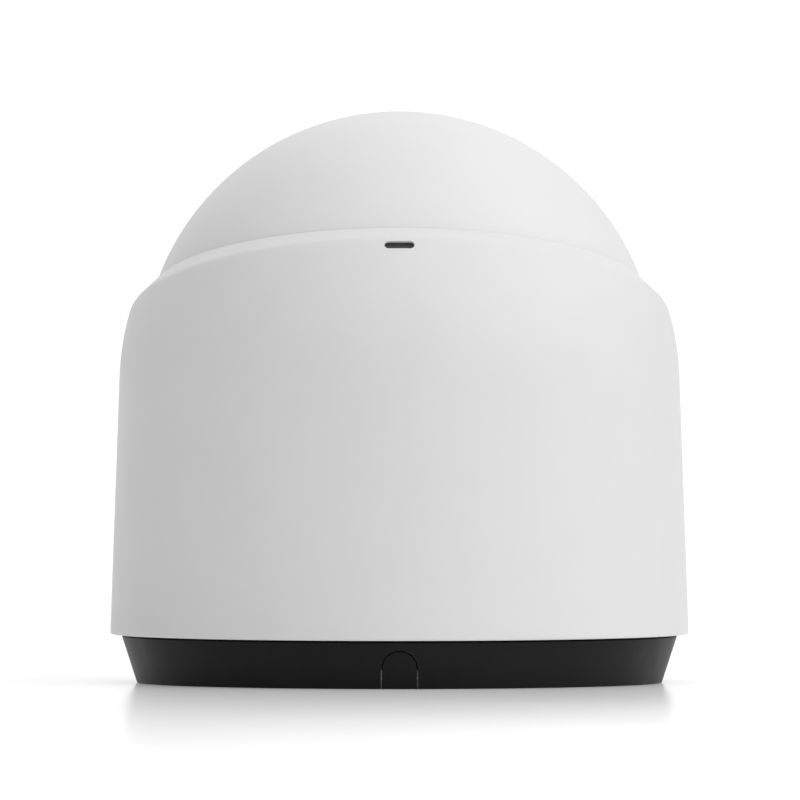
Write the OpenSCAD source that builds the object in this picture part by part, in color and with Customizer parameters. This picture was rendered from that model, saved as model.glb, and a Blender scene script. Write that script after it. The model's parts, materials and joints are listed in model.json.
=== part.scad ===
// Turret security camera: a ball head behind a round front window, held in the slanted rim of a
// round housing that turns on a low mounting base.
// Z is up, the mounting face is Z = 0, the housing turns about Z, and the lens faces +Y.

/* [Housing] */
// Outer diameter at the housing's bottom edge
housing_d = 110; // [109.6:0.1:111]
// Height of the housing's bottom edge above the mounting face
housing_low = 9.2; // [9.0:0.1:9.4]
// Inward lean of the housing's wall, degrees
wall_draft = 2.05; // [1.9:0.05:2.2]
// Radius of the arc that rounds the shoulder inwards
shoulder_r = 50; // [49.5:0.1:51]
// Height of the shoulder arc's centre
shoulder_z = 56.5; // [56:0.1:57]
// Wall thickness at the shoulder
housing_wall = 2.2; // [2.0:0.1:2.3]

/* [Rim] */
// Tilt of the rim's plane, lower at the lens side, degrees
rim_tilt = 15.5; // [15:0.1:16]
// Distance of the rim's inner edge from the ball's centre, along the rim's axis
rim_rise = 15.6; // [15.4:0.1:15.8]
// Clear gap between the rim and the ball
rim_gap = 0.4; // [0.3:0.05:0.5]

/* [Rear slot] */
// Length of the microphone slot
slot_len = 5.7; // [5:0.1:6]
// Height of the microphone slot, measured along the surface
slot_h = 1.6; // [1.4:0.02:1.7]
// Rise of the slot's centre above the ball's equator, degrees
slot_rise = 28.3; // [28.1:0.1:28.5]

/* [Ball] */
// Diameter of the ball
ball_d = 98; // [97.8:0.1:98.2]
// Height of the ball's centre above the mounting face
ball_z = 59.6; // [59.4:0.1:59.8]
// Wall thickness of the ball's rear shell
shell_t = 2.4; // [2.2:0.1:2.6]
// Rise of the lens axis above the horizon, degrees
lens_rise = 42; // [41:1:43]

/* [Front face] */
// Distance from the ball's centre to the seam between shell and bezel
seam_z = 36.5; // [36.3:0.1:36.7]
// Distance from the ball's centre to the bezel's flat front
face_z = 39; // [38.9:0.1:39.2]
// Radius of the dark front window
window_r = 27.35; // [27:0.05:27.4]
// Radius of the clear window in front of the lens
lens_window_r = 10.2; // [10:0.1:10.3]
// Number of infrared lamps round the lens
lamp_count = 6; // [4:2:6]

/* [Base] */
// Diameter of the base where it meets the mounting surface
base_foot_d = 99.8; // [99.4:0.1:100]
// Diameter of the base at its top edge
base_top_d = 105.6; // [105.4:0.1:105.8]
// Diameter of the opening for the cable in the middle of the base
cable_opening_d = 60; // [58:1:62]
// Bolt circle of the mounting screws
screw_pcd = 80; // [79:1:81]
// Diameter of each mounting screw hole
screw_hole_d = 4.5; // [4:0.1:4.6]
// Width of the arched cable notch at the rear
notch_w = 7; // [6.8:0.1:7.2]
// Height of the arched cable notch
notch_h = 7.3; // [7.1:0.1:7.5]
// Gap all round the plug that closes the notch
notch_gap = 0.2; // [0.15:0.05:0.3]

/* [Hidden] */
$fn = 96;
eps = 0.01;
reach = 80;            // longer than anything it has to cut through
slip = 0.1;            // gap between neighbours that are fixed to each other
m25_hole = 1.4;        // clearance hole of an M2.5 screw
m25_shank = 1.15;
m25_pilot = 1.2;
m25_head_r = 2.3;
m25_head_h = 1.8;
m2_hole = 1.1;
m2_shank = 1;

housing_r = housing_d / 2;
ball_r = ball_d / 2;
ball_in_r = ball_r - shell_t;

// The straight wall runs up into the shoulder arc, which starts a little lower.
wall_top_r = housing_r - (shoulder_z - housing_low) * tan(wall_draft);
shoulder_x = wall_top_r - shoulder_r + 0.02;
arc_start_z = shoulder_z - 3;

// Inside of the housing: a wide skirt over the base's collar, then the wall.
skirt_r = 52.6;
skirt_top = 17;
inner_low_r = 51.6;
inner_shoulder_r = shoulder_r - housing_wall;
edge_round = 0.4;

rim_clear_r = ball_r + rim_gap;
rim_lip_r = sqrt(pow(rim_clear_r, 2) - pow(rim_rise, 2)) - 0.2;
liner_r = [ball_r + 0.25, ball_r + 1.25];
liner_w = [2, 6];      // along the rim's axis
flange_low = 1.5;
flange_r = 51.4;
lip_t = 3.6;

// Bosses that take the seat frame's screws.
frame_angles = [60, 180, 300];
frame_boss_at = 46.6;
frame_boss_r = 3.2;
frame_boss_z = [30.1, 35];

// Microphone pocket behind the slot, in distances from the ball's centre.
mic_pocket = [6.3, 2.6];
mic_pocket_top = ball_r + 1.45;
mic_body = [4.8, 2.2, 0.9];
mic_mesh = [6.1, 2.4, 0.25];

// Base: a tapered outer wall, a collar inside the housing's skirt and a floor.
base_top = housing_low - 0.3;
collar_r = [47.2, 49.6];
collar_top = 15.4;
collar_lip = [51, 2];  // outer radius and thickness of the lip that holds the housing down
collar_chamfer = 0.6;
floor_z = [2, 4];
plate_t = 1.6;
plate_r = 46.4;
foot_inner_r = 46.8;
gasket_r = [47.3, 49.3];
gasket_t = 0.7;
screw_angles = [90, 210, 330];
driver_hole_r = 4.6;
tab_angles = [50, 170, 290];
tab_r = [33, 35.6];
tab_w = 8;
tab_hook = 4;
tab_t = 1.2;
channel_y = [-60, -20];  // from beyond the rear wall to inside the cable opening
plug_inner_r = 47.4;
plug_leg = [1.0, 3.6, 4.5]; // thickness, length and height of each leg

friction_ring = [47.8, 49.4];
friction_ring_t = 1;
retainer_r = [50, 53];
retainer_z = [10.1, 13];
retainer_gap = 14;     // opening of the split ring, degrees

// Seat frame under the ball.
frame_out_r = 51.4;
frame_wall_r = 49.4;
frame_flange_r = 47.8;
frame_low = 16.6;
frame_flange_t = 2;
web_z = [26, 30];
web_in_r = 30;
seat_r = ball_r + 1.3;
seat_pad = [ball_r + 0.35, ball_r + 1.2];
seat_pad_half = 14;    // half the angle that each pad covers
track_gap_x = 9.1;     // half width of the cut in the web for the tilt track
track_gap_y = 49.2;

// Tilt track and carriage, as arcs about the ball's centre. Angles run down from the rear horizon.
rail_x = [6.2, 8.7];
rail_r = [ball_r + 0.8, ball_r + 5];
rail_span = [24, 102];
groove_x = 7.4;
groove_r = [ball_r + 1.8, ball_r + 3.8];
stop_t = 3;            // angle that each end stop covers
stop_x = rail_x[1] - 0.1;
stop_r = rail_r + [0.2, -0.2];
track_foot_x = [8.5, 17];
track_foot_y = [-46, -37.2];
track_foot_z = [22.9, web_z[0] - slip];
track_screw_at = [13.2, -42.5];
carriage_x = 6;
carriage_r = [ball_r + 0.9, ball_r + 4.4];
carriage_half = 9;
tongue_x = 7;
tongue_r = [ball_r + 2.2, ball_r + 3.4];
tongue_half = 8;

// Hollow pivot at the ball's tail. Z runs along the lens axis, so these are negative.
pivot_r = 4.5;
pivot_bore_r = 3;
pivot_end = -41.8;
tail_hole_r = 4.58;
tail_boss_r = 9;
tail_boss_end = -44.5;
washer_r = [4.6, 6];
washer_z = [-(ball_r + 0.45), -ball_r];
nut_r = 8.2;
nut_t = 2.5;
cable_r = 2.1;
cable_out = -(ball_r + 6);
cable_in = -8;

// Bezel and windows, along the lens axis.
bezel_bore_r = 30.9;
bezel_spigot_r = 30.7;
bezel_in_r = 25;
bezel_low = 32.6;
window_seat_z = 36.9;
window_recess_r = window_r + 0.15;
window_back = 37.5;
window_front = 39.3;
oring_at = [30.15, 35.5];
oring_r = 0.55;
oring_groove = [29.4, 34.9, 36.1];
window_gasket_r = [25.3, 27.2];
hood_r = [8.6, 9.9];
hood_z = [27.5, window_back - slip];

// Lens, along the lens axis.
barrel_head_r = 7.6;
barrel_thread_r = 6;
barrel_z = [16.5, 27, 36.4];
barrel_mouth_r = 6.8;
glass_r = 5.4;
glass_seat_z = [31, 34.6];
barrel_bore_r = 3.6;
rear_glass_r = 4.2;
rear_glass_top = 19;
front_glass_curve = 6.5;
middle_glass_z = [23, 26];
filter_half = 4;
filter_z = [13.5, 14.3];
holder_half = 9;
holder_z = [11.25, 14.6, 21];
holder_tower_r = 8.4;
holder_room = [11, 11, 13.4];
holder_ear_at = 11.6;
holder_ear_r = 2.5;
holder_ear_top = 13.4;

// Electronics inside the ball, along the lens axis.
sensor_board_half = 14.6;
sensor_board_z = [9.6, 11.2];
sensor_screw_at = 12.2;
sensor_size = [9.6, 7.6, 1.2];
chassis_r = [27.4, 29.4];
chassis_z = [6, 32.5];
chassis_floor_t = 2;
chassis_window = [[-5.6, 5.6], [-23, -20.5]];
lamp_board_r = [11, 26.6];
lamp_board_z = [29.9, 31.1];
lamp_ledge_r = 25;
lamp_at = 18;
lamp_r = 1.9;
main_board_r = 29.2;
main_board_z = [-3, -1.4];
stack_angles = [45, 135, 225, 315];
stack_at = 24;
stack_post_r = 3.2;
stack_post_top = -17.2;
stack_tube_r = 2.6;
stack_screw_r = 1;
sink_z = [-17.1, -14.6];
sink_r = 29;
sink_hole_r = 7;
fin_z = -27;
fin_reach = 12.5;
fin_t = 1.2;
fin_pitch = 3.6;
fin_rows = 5;
fin_first = 8.5;
chip_y = [8, 20];
chip_half = 6;
chip_t = 1.9;
pad_t = 0.8;

// Network jack, held under the seat frame.
jack_x = [-18, 3];
jack_y = [26.5, 41];
jack_z = [5.8, 17.3];
jack_shell_t = 0.4;
socket_y = [27.9, 39.6];
socket_z = [7, 13.8];
socket_depth = 13;
latch_y = [30.7, 36.8];
latch_z = 15.8;
contact_count = 8;
contact_pitch = 1.02;
contact_size = [9, 0.5, 0.8];
bracket_y = [41.1, 43.1];
bracket_x = [-17, 2];
bracket_z = [8, web_z[0] - slip];
bracket_foot_y = 46;
bracket_t = 2;
bracket_screw_x = [-13, -2];
bracket_screw_y = 44.4;
bracket_roof_y = 30;
bracket_roof_t = 1.6;
reset_at = [-14, 31];
reset_button_r = 1.5;
reset_flange_r = 2.4;
reset_button_z = [5.9, 7.2, 8];
reset_hole_r = 1.8;
reset_room_r = 3.1;
reset_room_top = 11;
reset_switch_z = [8.6, 10.9];

// Route of the harness from the tail pivot round the inside of the base to the jack.
harness_points = [
    [0, -41.3, 22.4], [0, -43.4, 19.5], [-4, -43.6, 15.5], [-12, -41.5, 12.5], [-22, -37, 11.5],
    [-32, -28, 11.5], [-39, -16, 11.5], [-42, -2, 11.5], [-41, 11, 11.5], [-36, 22, 11.5],
    [-29, 30, 11.5], [-22, 33.6, 11.5], [-18.1, 34, 11.5]];
harness_end = harness_points[len(harness_points) - 1];
harness_steps = 3;
harness_sides = 10;

// ---------- Shared shapes ----------

module disc(r, z) translate([0, 0, z[0]]) cylinder(r = r, h = z[1] - z[0]);

module ring(r, z) {
    difference() {
        disc(r[1], z);
        disc(r[0], [z[0] - 1, z[1] + 1]);
    }
}

module block(x, y, z) {
    translate([x[0], y[0], z[0]]) cube([x[1] - x[0], y[1] - y[0], z[1] - z[0]]);
}

// A span from low to high about a place.
function about(at, low, high) = [at + low, at + high];

module box2d(x, y) translate([x[0], y[0]]) square([x[1] - x[0], y[1] - y[0]]);

module both_sides() {
    children();
    mirror([1, 0, 0]) children();
}

module around(angles, at) for (a = angles) rotate([0, 0, a]) translate([at, 0, 0]) children();

// Frame of the ball: Z along the lens axis.
module aim() translate([0, 0, ball_z]) rotate([lens_rise - 90, 0, 0]) children();

// Frame of the rim: Z along the rim's axis.
module rim_frame() translate([0, 0, ball_z]) rotate([-rim_tilt, 0, 0]) children();

// Frame of the rear slot: Z out through the slot, X across.
module slot_frame() translate([0, 0, ball_z]) rotate([90 - slot_rise, 0, 0]) children();

// A profile of radius and X, turned about the tilt axis between two angles below the rear horizon.
module tilt_turn(span) {
    translate([0, 0, ball_z]) rotate([-90, 0, 0]) rotate([0, 90, 0]) rotate([0, 0, span[0]])
        rotate_extrude(angle = span[1] - span[0]) children();
}

// A block bent round the tilt axis.
module tilt_arc(x, r, span) tilt_turn(span) box2d(r, x);

module slot2d(len, w) {
    square([len - w, w], center = true);
    for (side = [-1, 1]) translate([side * (len - w) / 2, 0]) circle(w / 2);
}

// Pan-head screw standing on z = 0 with its shank upwards.
module screw_up(shank, len) {
    difference() {
        disc(m25_head_r, [-m25_head_h, 0]);
        translate([0, 0, -m25_head_h - eps]) cylinder(r = 1, h = 1, $fn = 6);
    }
    disc(shank, [-eps, len]);
}

// ---------- Housing ----------

module housing_outline() {
    union() {
        polygon([
            [0, housing_low], [housing_r - edge_round, housing_low], [housing_r, housing_low + edge_round],
            [wall_top_r, shoulder_z], [0, shoulder_z]]);
        intersection() {
            translate([shoulder_x, shoulder_z]) circle(shoulder_r, $fn = 180);
            box2d([0, housing_r], [arc_start_z, ball_z + ball_r]);
        }
    }
}

module housing_hollow() {
    inner_top_r = shoulder_x + inner_shoulder_r - 0.02;
    union() {
        box2d([0, skirt_r], [0, skirt_top]);
        polygon([[0, skirt_top], [inner_low_r, skirt_top], [inner_top_r, shoulder_z], [0, shoulder_z]]);
        intersection() {
            translate([shoulder_x, shoulder_z]) circle(inner_shoulder_r, $fn = 180);
            box2d([0, inner_top_r + 1], [arc_start_z, ball_z + ball_r]);
        }
    }
}

// Everything above the rim's sloping lip.
module rim_cutter() {
    rim_frame() rotate_extrude()
        polygon([
            [0, reach], [0, rim_rise], [rim_lip_r, rim_rise],
            [reach, rim_rise - (reach - rim_lip_r)], [reach, reach]]);
}

// The room left for the lip that closes the gap to the ball: its root holds the friction liner.
module rim_root() {
    out = housing_r + 5;
    over = 6;
    deep = 8;
    lip_sum = rim_rise + rim_lip_r;
    rim_frame() rotate_extrude()
        polygon([
            [rim_lip_r - deep, flange_low], [flange_r, flange_low],
            [flange_r, lip_sum - flange_r - lip_t], [out, lip_sum - out - lip_t],
            [out, lip_sum + over - out], [rim_lip_r - deep, rim_rise + deep + over]]);
}

module frame_boss() {
    translate([frame_boss_at, 0, 0]) disc(frame_boss_r, frame_boss_z);
    block([frame_boss_at, inner_low_r + 0.5], [-2, 2], frame_boss_z);
}

module housing() {
    color("white") difference() {
        union() {
            difference() {
                rotate_extrude() housing_outline();
                difference() {
                    rotate_extrude() housing_hollow();
                    rim_root();
                }
            }
            for (a = frame_angles) rotate([0, 0, a]) frame_boss();
        }
        translate([0, 0, ball_z]) sphere(rim_clear_r);
        rim_cutter();
        rim_frame() intersection() {
            sphere(liner_r[1] + slip / 2);
            disc(reach, liner_w + [-slip, slip] / 2);
        }
        slot_frame() {
            translate([0, 0, ball_r]) linear_extrude(10) slot2d(slot_len, slot_h);
            translate([-mic_pocket[0] / 2, -mic_pocket[1] / 2, ball_r - 1])
                cube([mic_pocket[0], mic_pocket[1], mic_pocket_top - ball_r + 1]);
        }
        ring([skirt_r - 1, retainer_r[1] + slip], retainer_z + [-slip, slip]);
        around(frame_angles, frame_boss_at) disc(m25_pilot, frame_boss_z - [1, 0.4]);
    }
}

module rim_liner() {
    color("dimgray") intersection() {
        translate([0, 0, ball_z]) difference() {
            sphere(liner_r[1]);
            sphere(liner_r[0]);
        }
        rim_frame() disc(reach, liner_w);
    }
}

// A thin plate or block behind the slot, from radius to radius about the ball's centre.
module behind_slot(size, low) {
    slot_frame() translate([-size[0] / 2, -size[1] / 2, low]) cube(size);
}

module mic_mesh() {
    color("dimgray") behind_slot(mic_mesh, mic_pocket_top - mic_mesh[2] - 0.02);
}

module microphone() {
    color("silver") behind_slot(mic_body, mic_pocket_top - mic_mesh[2] - mic_body[2] - 0.04);
}

module retaining_ring() {
    color("black") difference() {
        ring(retainer_r, retainer_z);
        rotate([0, 0, 90 - retainer_gap / 2]) rotate_extrude(angle = retainer_gap)
            box2d([skirt_r - 8, skirt_r + 2], retainer_z + [-1, 1]);
    }
}

// ---------- Base ----------

module arch2d(w, h) {
    union() {
        box2d([-w / 2, w / 2], [-1, h - w / 2]);
        translate([0, h - w / 2]) circle(w / 2);
    }
}

// The arch, drawn out along Y from the middle of the base to beyond its rear wall.
module arch_tunnel(w, h) {
    translate([0, channel_y[1], 0]) rotate([90, 0, 0])
        linear_extrude(channel_y[1] - channel_y[0]) arch2d(w, h);
}

module base_profile() {
    polygon([
        [foot_inner_r, 0], [base_foot_d / 2, 0], [base_top_d / 2, base_top], [collar_r[1], base_top],
        [collar_r[1], collar_top - collar_lip[1]], [collar_lip[0], collar_top - collar_lip[1]],
        [collar_lip[0], collar_top - collar_chamfer], [collar_lip[0] - collar_chamfer, collar_top],
        [collar_r[0], collar_top],
        [collar_r[0], floor_z[1]], [cable_opening_d / 2, floor_z[1]], [cable_opening_d / 2, floor_z[0]],
        [foot_inner_r, floor_z[0]]]);
}

module base_ring() {
    tab_room = 0.4;
    color("black") difference() {
        rotate_extrude() base_profile();
        ring(gasket_r + [-slip, slip] / 2, [-1, gasket_t + slip / 2]);
        arch_tunnel(notch_w, notch_h);
        around(screw_angles, screw_pcd / 2) disc(driver_hole_r, floor_z + [-1, 1]);
        around(tab_angles, 0)
            block(tab_r + [-tab_room, tab_room], about(-tab_hook, -tab_room, tab_w + tab_room),
                floor_z + [-1, 1]);
    }
}

module mount_plate() {
    color("gray") {
        difference() {
            disc(plate_r, [0, plate_t]);
            disc(cable_opening_d / 2, [-1, plate_t + 1]);
            around(screw_angles, screw_pcd / 2) disc(screw_hole_d / 2, [-1, plate_t + 1]);
            arch_tunnel(notch_w, notch_h);
        }
        around(tab_angles, 0) {
            block(tab_r, [0, tab_w - tab_hook], [plate_t - eps, floor_z[1] + slip + tab_t]);
            block(tab_r, [0, tab_w], about(floor_z[1] + slip, 0, tab_t));
        }
    }
}

module base_gasket() {
    color("dimgray") difference() {
        ring(gasket_r, [0, gasket_t]);
        arch_tunnel(notch_w, notch_h);
    }
}

module pan_friction_ring() {
    color("ivory") ring(friction_ring, [collar_top + 0.05, collar_top + 0.05 + friction_ring_t]);
}

module cable_plug() {
    w = notch_w - 2 * notch_gap;
    root = 0.4;
    color("black") {
        difference() {
            intersection() {
                cylinder(r1 = base_foot_d / 2, r2 = base_top_d / 2, h = base_top);
                arch_tunnel(w, notch_h - notch_gap);
            }
            disc(plug_inner_r, [-1, base_top + 1]);
            disc(reach, [-2, 0]);
        }
        both_sides() block([w / 2 - plug_leg[0], w / 2], about(-plug_inner_r, -root, plug_leg[1]),
            [plate_t + slip, plug_leg[2]]);
    }
}

// ---------- Seat and tilt track ----------

module seat_frame() {
    color("silver") difference() {
        union() {
            ring([frame_wall_r, frame_out_r], [frame_low, web_z[1]]);
            ring([frame_flange_r, frame_out_r], [frame_low, frame_low + frame_flange_t]);
            ring([web_in_r, frame_out_r], web_z);
        }
        translate([0, 0, ball_z]) sphere(seat_r);
        block([-track_gap_x, track_gap_x], [-track_gap_y, 0], about(frame_low + frame_flange_t, 1, reach));
        around(frame_angles, frame_boss_at) disc(m25_hole, web_z + [-1, 1]);
        both_sides() translate(track_screw_at) disc(m25_pilot, web_z - [1, 0.5]);
        for (x = bracket_screw_x) translate([x, bracket_screw_y]) disc(m25_pilot, web_z - [1, 0.5]);
    }
}

module seat_pads() {
    color("ivory") intersection() {
        translate([0, 0, ball_z]) difference() {
            sphere(seat_pad[1]);
            sphere(seat_pad[0]);
        }
        for (a = frame_angles) rotate([0, 0, a - seat_pad_half])
            rotate_extrude(angle = 2 * seat_pad_half) box2d([20, reach], web_z + [0.2, -0.2]);
    }
}

module frame_screws() {
    color("silver") around(frame_angles, frame_boss_at)
        translate([0, 0, web_z[0]]) screw_up(m25_shank, frame_boss_z[1] - web_z[0] - 1);
}

module rail_profile() {
    difference() {
        box2d(rail_r, rail_x);
        box2d(groove_r, [rail_x[0] - 1, groove_x]);
    }
}

module tilt_track() {
    overlap = 1;
    color("dimgray") difference() {
        union() {
            both_sides() {
                tilt_turn(rail_span) rail_profile();
                block(track_foot_x, track_foot_y, track_foot_z);
            }
            for (end = [about(rail_span[0], -stop_t, overlap), about(rail_span[1], -overlap, stop_t)])
                tilt_arc([-stop_x, stop_x], stop_r, end);
        }
        both_sides() translate(track_screw_at) disc(m25_hole, track_foot_z + [-1, 1]);
    }
}

module track_screws() {
    color("silver") both_sides() translate([track_screw_at[0], track_screw_at[1], track_foot_z[0]])
        screw_up(m25_shank, web_z[1] - track_foot_z[0] - 1);
}

// ---------- Network jack ----------

module jack_shell() {
    t = jack_shell_t;
    color("silver") difference() {
        block(jack_x, jack_y, jack_z);
        block([jack_x[0] + t, jack_x[1] + 1], jack_y + [t, -t], jack_z + [t, -t]);
        translate(reset_at) disc(reset_hole_r, [0, jack_z[0] + 1]);
        translate([jack_x[0] - 1, harness_end[1], harness_end[2]]) rotate([0, 90, 0])
            cylinder(r = cable_r + 0.4, h = 1.2);
    }
}

module jack_insert() {
    t = jack_shell_t + 0.05;
    color("black") difference() {
        block([jack_x[0] + t, jack_x[1]], jack_y + [t, -t], jack_z + [t, -t]);
        block([jack_x[1] - socket_depth, jack_x[1] + 1], socket_y, socket_z);
        block([jack_x[1] - socket_depth, jack_x[1] + 1], latch_y, [socket_z[0], latch_z]);
        translate(reset_at) disc(reset_room_r, [0, reset_room_top]);
    }
}

module jack_contacts() {
    middle = (socket_y[0] + socket_y[1]) / 2;
    first_y = middle - (contact_count - 1) / 2 * contact_pitch - contact_size[1] / 2;
    start = jack_x[1] - socket_depth;
    color("gold") for (i = [0 : contact_count - 1])
        translate([start, first_y + i * contact_pitch, socket_z[0]]) cube(contact_size);
}

module jack_bracket() {
    foot_low = bracket_z[1] - bracket_t;
    color("silver") difference() {
        union() {
            block(bracket_x, bracket_y, bracket_z);
            block(bracket_x, [bracket_y[0], bracket_foot_y], [foot_low, bracket_z[1]]);
            block(bracket_x, [bracket_roof_y, bracket_y[1]], about(jack_z[1] + slip, 0, bracket_roof_t));
        }
        for (x = bracket_screw_x) translate([x, bracket_screw_y]) {
            disc(m25_hole, about(bracket_z[1], -3, 1));
            disc(m25_head_r + 0.2, [0, foot_low + 0.05]);
        }
    }
}

module bracket_screws() {
    low = bracket_z[1] - bracket_t;
    color("silver") for (x = bracket_screw_x) translate([x, bracket_screw_y, low])
        screw_up(m25_shank, web_z[1] - low - 1);
}

module reset_switch() {
    color("dimgray") translate(reset_at) {
        disc(reset_room_r - 0.2, reset_switch_z);
        disc(reset_button_r - 0.3, [reset_switch_z[0] - 0.1, reset_switch_z[0] + eps]);
    }
}

module reset_button() {
    color("red") translate(reset_at) {
        disc(reset_button_r, [reset_button_z[0], reset_button_z[2]]);
        disc(reset_flange_r, [reset_button_z[1], reset_button_z[2]]);
    }
}

// Smooth curve through the harness points, one stretch between points i and i + 1.
function curve(p, i, t) =
    let (
        a = p[max(i - 1, 0)], b = p[i], c = p[i + 1], d = p[min(i + 2, len(p) - 1)])
    (2 * b + (c - a) * t + (2 * a - 5 * b + 4 * c - d) * t * t + (3 * b - a - 3 * c + d) * t * t * t) / 2;

function route(p, steps) = concat(
    [for (i = [0 : len(p) - 2]) for (s = [0 : steps - 1]) curve(p, i, s / steps)], [p[len(p) - 1]]);

function unit(v) = v / norm(v);

// Closed tube swept along the points q.
module swept_tube(q, r, sides) {
    last = len(q) - 1;
    rings = [for (i = [0 : last])
        let (
            along = unit(q[min(i + 1, last)] - q[max(i - 1, 0)]),
            side = unit(cross(along, abs(along[2]) > 0.9 ? [1, 0, 0] : [0, 0, 1])),
            up = cross(side, along))
        for (k = [0 : sides - 1]) q[i] + r * (cos(360 * k / sides) * side + sin(360 * k / sides) * up)];
    walls = [for (i = [0 : last - 1]) for (k = [0 : sides - 1])
        let (n = (k + 1) % sides)
        for (f = [
            [i * sides + k, i * sides + n, (i + 1) * sides + n],
            [i * sides + k, (i + 1) * sides + n, (i + 1) * sides + k]]) f];
    first_cap = [[for (k = [sides - 1 : -1 : 0]) k]];
    last_cap = [[for (k = [0 : sides - 1]) last * sides + k]];
    polyhedron(rings, concat(walls, first_cap, last_cap));
}

module harness() {
    color("dimgray") swept_tube(route(harness_points, harness_steps), cable_r, harness_sides);
}

// ---------- Tilt carriage and pivot ----------

module tilt_carriage() {
    color("silver") difference() {
        union() {
            tilt_arc([-carriage_x, carriage_x], carriage_r, about(lens_rise, -carriage_half, carriage_half));
            tilt_arc([-tongue_x, tongue_x], tongue_r, about(lens_rise, -tongue_half, tongue_half));
            aim() disc(pivot_r, [-(carriage_r[0] + 1), pivot_end]);
        }
        aim() disc(pivot_bore_r, [-reach, pivot_end + 1]);
    }
}

module tail_washer() color("ivory") aim() ring(washer_r, washer_z);

module tail_nut() {
    low = tail_boss_end + slip;
    color("goldenrod") aim() difference() {
        translate([0, 0, low]) cylinder(r = nut_r, h = nut_t, $fn = 6);
        disc(pivot_r + 0.05, [low - 1, low + nut_t + 1]);
    }
}

module head_cable() color("dimgray") aim() disc(cable_r, [cable_out, cable_in - slip]);

// ---------- Ball shell and front face ----------

module stack_post() {
    translate([stack_at, 0, 0]) disc(stack_post_r, [-ball_r, stack_post_top]);
}

module ball_shell() {
    color("white") aim() difference() {
        union() {
            difference() {
                sphere(ball_r);
                sphere(ball_in_r);
            }
            intersection() {
                sphere(ball_r);
                union() {
                    disc(tail_boss_r, [-reach, tail_boss_end]);
                    for (a = stack_angles) rotate([0, 0, a]) stack_post();
                }
            }
        }
        disc(reach, [seam_z, reach]);
        disc(bezel_bore_r, [bezel_low - 2, seam_z + 1]);
        disc(tail_hole_r, [-reach, tail_boss_end + 1]);
        around(stack_angles, stack_at) disc(stack_screw_r + 0.05, about(stack_post_top, -5, 1));
    }
}

module bezel_profile() {
    union() {
        intersection() {
            box2d([0, ball_r], [seam_z, face_z]);
            circle(ball_r, $fn = 360);
        }
        box2d([0, bezel_spigot_r], [bezel_low, seam_z + eps]);
    }
}

module front_bezel() {
    color("whitesmoke") aim() rotate_extrude() difference() {
        bezel_profile();
        box2d([-1, bezel_in_r], [0, reach]);
        box2d([-1, window_recess_r], [window_seat_z, reach]);
        box2d([oring_groove[0], reach], [oring_groove[1], oring_groove[2]]);
    }
}

module bezel_oring() {
    color("black") aim() rotate_extrude() translate(oring_at) circle(oring_r);
}

// The clear front, as one disc out to radius r.
module window_blank(r) disc(r, [window_back, window_front]);

module front_window() {
    color("black") aim() difference() {
        window_blank(window_r);
        disc(lens_window_r + 0.05, [0, reach]);
    }
}

module lens_window() color("lightblue") aim() window_blank(lens_window_r);

module window_gasket() color("dimgray") aim() ring(window_gasket_r, [window_seat_z, window_back - 0.05]);

// ---------- Lens ----------

module lens_hood() color("black") aim() ring(hood_r, hood_z);

module lens_barrel() {
    color("black") aim() difference() {
        union() {
            disc(barrel_thread_r, [barrel_z[0], barrel_z[1]]);
            disc(barrel_head_r, [barrel_z[1], barrel_z[2]]);
        }
        disc(barrel_bore_r, [0, reach]);
        disc(rear_glass_r, [0, rear_glass_top]);
        disc(glass_r, [glass_seat_z[0], reach]);
        disc(barrel_mouth_r, [glass_seat_z[1], reach]);
    }
}

module front_lens() {
    fit = 0.05;
    top = glass_seat_z[1] + 1;
    color("lightblue") aim() intersection() {
        disc(glass_r - fit, [glass_seat_z[0] + fit, top]);
        translate([0, 0, top - front_glass_curve]) sphere(front_glass_curve);
    }
}

module middle_lens() {
    color("lightblue") aim() disc(barrel_bore_r - 0.05, middle_glass_z);
}

module rear_lens() {
    fit = 0.05;
    color("lightblue") aim() disc(rear_glass_r - fit, [barrel_z[0] + 0.3, rear_glass_top - fit]);
}

module ir_cut_filter() {
    h = filter_half;
    color("lightblue") aim() block([-h, h], [-h, h], filter_z);
}

module lens_holder() {
    h = holder_half;
    room = holder_room / 2;
    color("black") aim() difference() {
        union() {
            block([-h, h], [-h, h], [holder_z[0], holder_z[1]]);
            disc(holder_tower_r, [holder_z[1] - eps, holder_z[2]]);
            for (side = [-1, 1]) {
                translate([side * holder_ear_at, 0, 0]) disc(holder_ear_r, [holder_z[0], holder_ear_top]);
                block([min(side * h, side * holder_ear_at), max(side * h, side * holder_ear_at)],
                    [-holder_ear_r, holder_ear_r], [holder_z[0], holder_ear_top]);
            }
        }
        disc(barrel_thread_r + 0.05, [filter_z[0] - 0.05, reach]);
        block([-room[0], room[0]], [-room[1], room[1]], [0, holder_room[2]]);
        for (side = [-1, 1]) translate([side * holder_ear_at, 0, 0]) disc(m2_hole, [0, reach]);
    }
}

module image_sensor() {
    low = sensor_board_z[1] + 0.05;
    color("darkslategray") aim()
        translate([-sensor_size[0] / 2, -sensor_size[1] / 2, low]) cube(sensor_size);
}

module sensor_board() {
    h = sensor_board_half;
    color("darkgreen") aim() difference() {
        block([-h, h], [-h, h], sensor_board_z);
        for (x = [-1, 1]) for (y = [-1, 1])
            translate([x * sensor_screw_at, y * sensor_screw_at, 0])
                disc(m25_hole, sensor_board_z + [-1, 1]);
        for (side = [-1, 1]) translate([side * holder_ear_at, 0, 0]) disc(m2_hole, [0, reach]);
    }
}

// Screws that go down into the part below, as seen along the lens axis.
module screw_down(shank, len) mirror([0, 0, 1]) screw_up(shank, len);

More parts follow.
